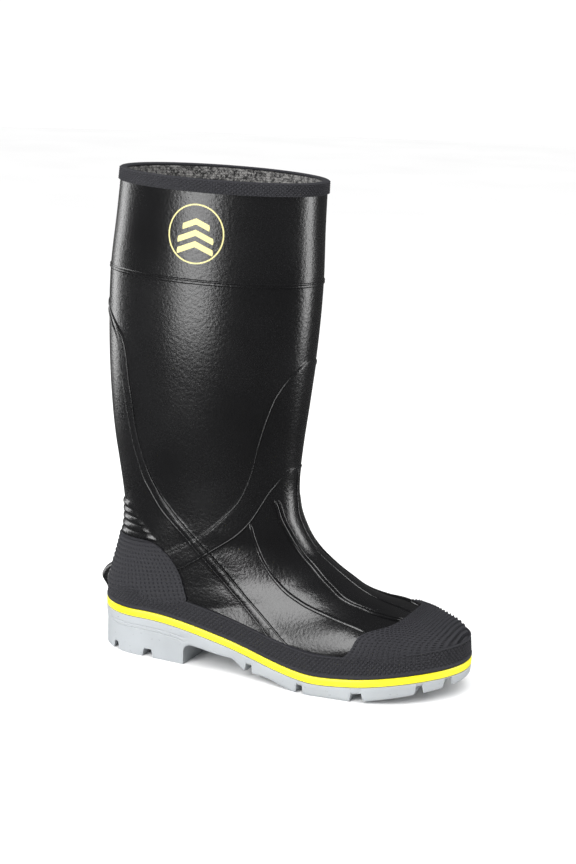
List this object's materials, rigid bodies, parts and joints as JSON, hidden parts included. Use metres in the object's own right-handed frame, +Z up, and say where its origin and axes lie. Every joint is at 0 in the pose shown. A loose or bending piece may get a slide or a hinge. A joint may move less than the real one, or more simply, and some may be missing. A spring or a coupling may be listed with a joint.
{
  "type": "knee-high fire boot",
  "caption": "Knee-high moulded rubber safety boot for the right foot, with steel toe cap, knurled guards, yellow midsole and cleated grey sole.",
  "frame": {"origin": "middle of the footprint's bounding box, on the ground", "axes": "+X towards the toe, +Y towards the big-toe side, +Z up"},
  "size_m": [0.308, 0.1218, 0.3869],
  "materials": {
    "black_rubber": "satin, faintly rippled",
    "knurled_rubber": "knurled, semi-matt",
    "yellow_rubber": "satin",
    "grey_rubber": "matt",
    "knit_lining": "speckled grey knit",
    "steel": "bare",
    "fibreboard": "pressed fibre",
    "foam": "closed-cell foam"
  },
  "bodies": {
    "foot": {"foot_upper": "black_rubber", "foot_lining": "knit_lining", "ankle_upper": "black_rubber", "ankle_lining": "knit_lining", "toe_guard": "knurled_rubber", "heel_guard": "knurled_rubber", "kick_off_lug": "black_rubber", "foxing_band": "knurled_rubber", "midsole": "yellow_rubber", "outsole": "grey_rubber", "steel_toe_cap": "steel", "toe_cap_edge_strip": "foam", "heel_stiffener": "fibreboard", "steel_shank": "steel", "steel_midsole_plate": "steel", "insole_board": "fibreboard"},
    "leg": {"leg_upper": "black_rubber", "leg_lining": "knit_lining", "top_binding": "knurled_rubber", "trim_line_rib": "black_rubber"},
    "insole": {"insole_foam": "foam", "insole_cover": "knit_lining"}
  },
  "joints": [
    {"name": "ankle_flex", "type": "hinge", "parent": "foot", "child": "leg", "pos_m": [-0.067, 0, 0.105], "axis": [0, 1, 0], "range_deg": [-10, 20], "stiffness_Nm_per_rad": 8, "deforming": ["ankle_upper", "ankle_lining"]},
    {"name": "insole_lift", "type": "hinge", "parent": "foot", "child": "insole", "pos_m": [0.133, 0.006, 0.034], "axis": [0, 1, 0], "range_deg": [0, 2.5]}
  ]
}
